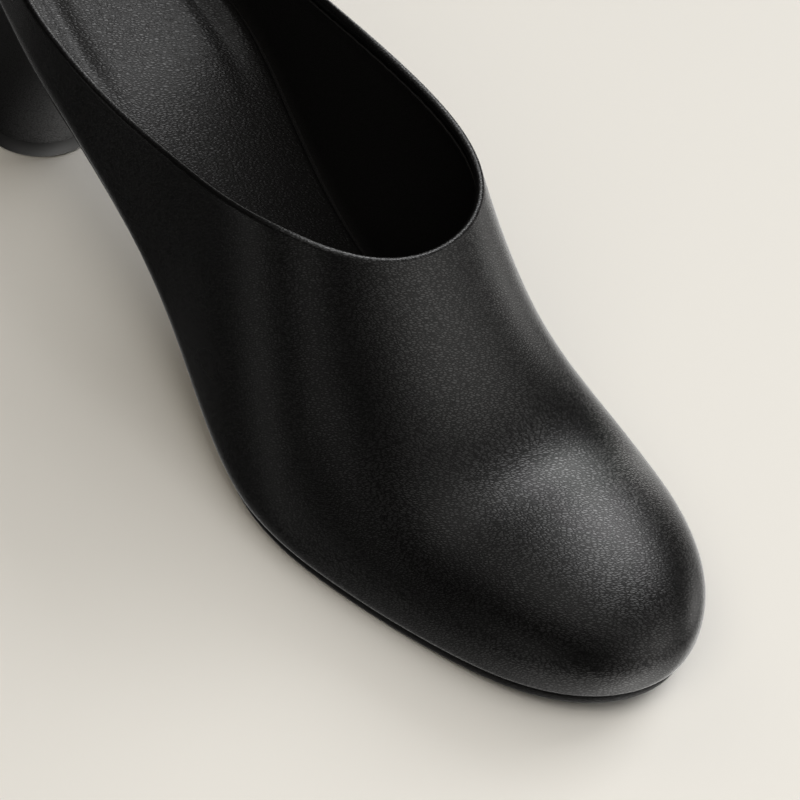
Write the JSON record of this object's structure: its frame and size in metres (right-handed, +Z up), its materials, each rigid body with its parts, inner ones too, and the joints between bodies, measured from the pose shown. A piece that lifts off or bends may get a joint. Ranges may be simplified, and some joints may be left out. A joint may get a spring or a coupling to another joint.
{
  "type": "mule shoe",
  "caption": "Backless leather mule with a high closed vamp, a round toe, a padded footbed and a round covered block heel, right foot.",
  "frame": {"origin": "on the floor, below the centre of the shoe's box", "axes": "+X to the toe, +Y to the wearer's left, which is the inner side of this right shoe, +Z up"},
  "size_m": [0.2442, 0.0782, 0.086],
  "materials": {
    "upper_leather": "smooth black calf, fine grain, soft semi-gloss",
    "footbed_leather": "black grained lining leather over padding, satin",
    "sole_leather": "black stained sole with a waxed edge",
    "heel_leather": "smooth black calf stretched over the heel block",
    "heel_rubber": "matte black moulded rubber"
  },
  "bodies": {
    "root": {"upper": "upper_leather", "insole": "footbed_leather", "outsole": "sole_leather", "heel": "heel_leather", "top_piece": "heel_rubber"}
  },
  "joints": []
}
